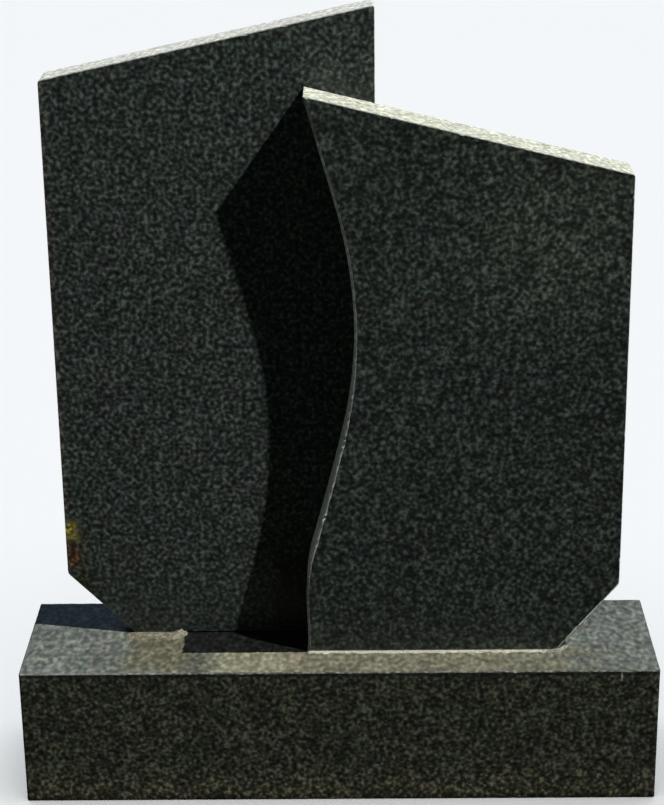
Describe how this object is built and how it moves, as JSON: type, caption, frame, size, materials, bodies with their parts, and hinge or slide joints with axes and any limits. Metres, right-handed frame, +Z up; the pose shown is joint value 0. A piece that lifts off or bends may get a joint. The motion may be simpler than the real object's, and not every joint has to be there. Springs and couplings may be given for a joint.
{
  "type": "headstone",
  "caption": "Upright headstone of overlapping slabs with slanted tops, the front one with an S-curved side, mortared onto a block plinth.",
  "frame": {"origin": "middle of the plinth's underside, where the headstone meets the ground", "axes": "+Z up, the polished front faces towards -Y, +X to the viewer's right"},
  "size_m": [1, 0.2502, 1.2372],
  "materials": {
    "plinth_granite": "polished dark granite, dusty on top",
    "rear_slab_granite": "polished dark granite faces with pale sawn edges",
    "front_slab_granite": "polished dark granite faces with pale sawn edges",
    "pale_mortar": "matt, cream",
    "sandy_mortar": "matt, sandy"
  },
  "bodies": {
    "root": {"plinth": "plinth_granite", "rear_slab": "rear_slab_granite", "front_slab": "front_slab_granite", "front_mortar_bed": "pale_mortar", "rear_mortar_bed": "sandy_mortar"}
  },
  "joints": []
}
